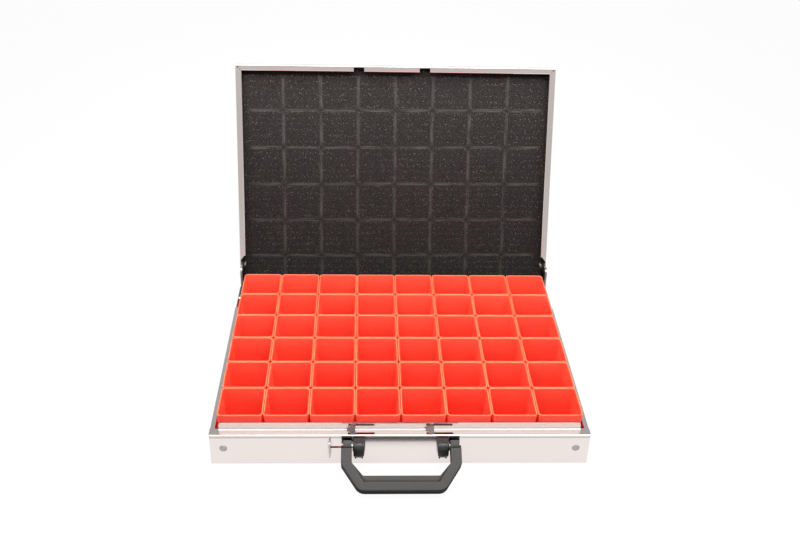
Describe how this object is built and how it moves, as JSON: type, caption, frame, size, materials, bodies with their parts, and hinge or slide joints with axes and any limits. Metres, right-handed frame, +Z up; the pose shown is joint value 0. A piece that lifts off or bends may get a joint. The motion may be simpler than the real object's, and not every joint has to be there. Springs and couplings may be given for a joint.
{
  "type": "assortment case",
  "caption": "Folded aluminium case with a foam-lined hinged lid, sprung slide latch, folding handle and a grid of lift-out bins for sorting small parts.",
  "frame": {"origin": "middle of the base's underside, on the table", "axes": "+X to the right of someone facing the latch, +Y towards the hinges, +Z up"},
  "size_m": [0.4392, 0.5091, 0.3345],
  "materials": {
    "case_aluminium": "satin anodised sheet",
    "rivet_aluminium": "plain",
    "zinc_steel": "zinc plated",
    "dark_steel": "dark passivated",
    "hook_steel": "plain spring steel",
    "spring_steel": "tempered strip",
    "nylon": "plain",
    "black_plastic": "fine grain",
    "bin_plastic": "smooth moulded",
    "foam": "open-cell foam"
  },
  "bodies": {
    "base": {"base_pan": "case_aluminium", "side_wall_left": "case_aluminium", "side_wall_right": "case_aluminium", "corner_rivets": "rivet_aluminium", "hinge_bracket_left": "zinc_steel", "hinge_bracket_right": "zinc_steel", "hinge_bracket_rivets": "rivet_aluminium", "hinge_pins": "zinc_steel", "hinge_washers": "nylon", "handle_block_left": "black_plastic", "handle_block_right": "black_plastic", "handle_backing_left": "zinc_steel", "handle_backing_right": "zinc_steel", "handle_screws": "zinc_steel", "handle_pins": "zinc_steel", "latch_guide_left": "zinc_steel", "latch_guide_right": "zinc_steel", "spring_anchor": "zinc_steel", "latch_spring": "spring_steel"},
    "lid": {"lid_shell": "case_aluminium", "foam_pad": "foam", "hinge_arm_left": "dark_steel", "hinge_arm_right": "dark_steel", "arm_spacer_left": "dark_steel", "arm_spacer_right": "dark_steel", "arm_rivets": "rivet_aluminium"},
    "latch": {"latch_bar": "zinc_steel", "latch_hook_left": "hook_steel", "latch_hook_right": "hook_steel", "release_tab": "hook_steel"},
    "handle": {"handle_bail": "black_plastic"},
    "bins_1": {"bins_row_1": "bin_plastic"},
    "bins_2": {"bins_row_2": "bin_plastic"},
    "bins_3": {"bins_row_3": "bin_plastic"},
    "bins_4": {"bins_row_4": "bin_plastic"},
    "bins_5": {"bins_row_5": "bin_plastic"},
    "bins_6": {"bins_row_6": "bin_plastic"}
  },
  "joints": [
    {"name": "lid_hinge", "type": "hinge", "parent": "base", "child": "lid", "pos_m": [0, 0.1563, 0.0305], "axis": [-1, 0, 0], "range_deg": [-106.5, 0]},
    {"name": "latch_slide", "type": "slide", "parent": "base", "child": "latch", "axis": [1, 0, 0], "range_m": [0, 0.007], "stiffness_N_per_m": 300, "springref_m": -0.004, "deforming": ["latch_spring"]},
    {"name": "handle_hinge", "type": "hinge", "parent": "base", "child": "handle", "pos_m": [0, -0.1729, 0.034], "axis": [-1, 0, 0], "range_deg": [0, 110]},
    {"name": "bins_1_lift", "type": "slide", "parent": "base", "child": "bins_1", "axis": [0, 0, 1], "range_m": [0, 0.07]},
    {"name": "bins_2_lift", "type": "slide", "parent": "base", "child": "bins_2", "axis": [0, 0, 1], "range_m": [0, 0.07]},
    {"name": "bins_3_lift", "type": "slide", "parent": "base", "child": "bins_3", "axis": [0, 0, 1], "range_m": [0, 0.07]},
    {"name": "bins_4_lift", "type": "slide", "parent": "base", "child": "bins_4", "axis": [0, 0, 1], "range_m": [0, 0.07]},
    {"name": "bins_5_lift", "type": "slide", "parent": "base", "child": "bins_5", "axis": [0, 0, 1], "range_m": [0, 0.07]},
    {"name": "bins_6_lift", "type": "slide", "parent": "base", "child": "bins_6", "axis": [0, 0, 1], "range_m": [0, 0.07]}
  ]
}
